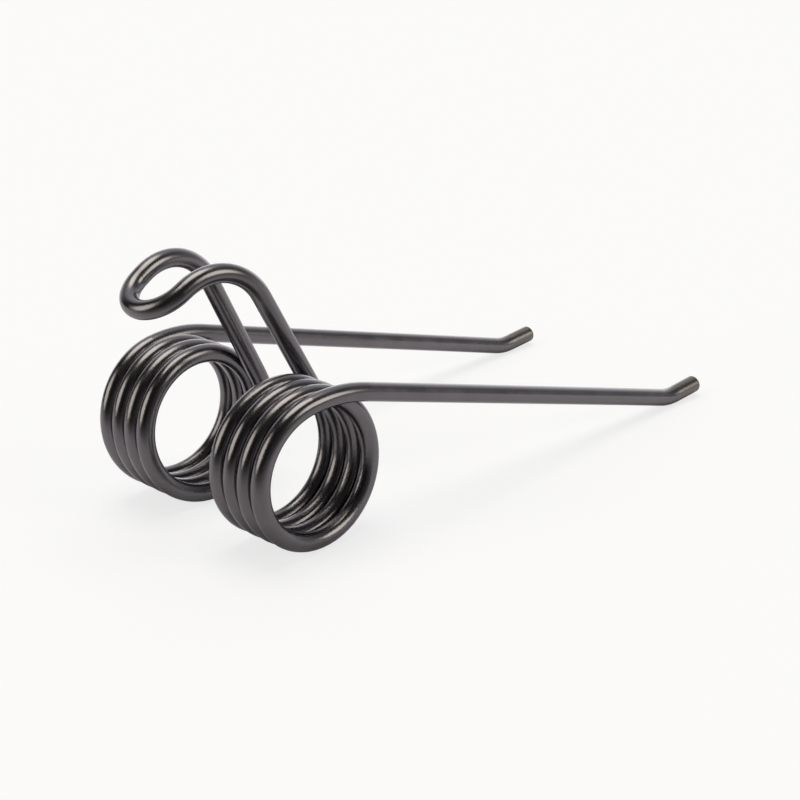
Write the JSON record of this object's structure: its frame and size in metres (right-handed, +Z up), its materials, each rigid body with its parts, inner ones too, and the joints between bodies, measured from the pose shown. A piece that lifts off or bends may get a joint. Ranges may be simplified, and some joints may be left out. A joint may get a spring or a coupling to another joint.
{
  "type": "baler pick-up tine",
  "caption": "Spring tine bent from round wire for a baler pick-up: a narrow bolt loop, legs, spring coils and long tines with turned-up tips.",
  "frame": {"origin": "on the floor, under the middle of the tine's box, as it lies at rest on its coils and on the knees of its tines", "axes": "+Z up from the floor, +X towards the tips of the tines, Y along the axis of the coils; the XZ plane is the plane of symmetry"},
  "size_m": [0.1928, 0.0812, 0.0817],
  "materials": {
    "black_coat": "satin black coat on spring steel wire"
  },
  "bodies": {
    "root": {"spring_tine": "black_coat"}
  },
  "joints": []
}
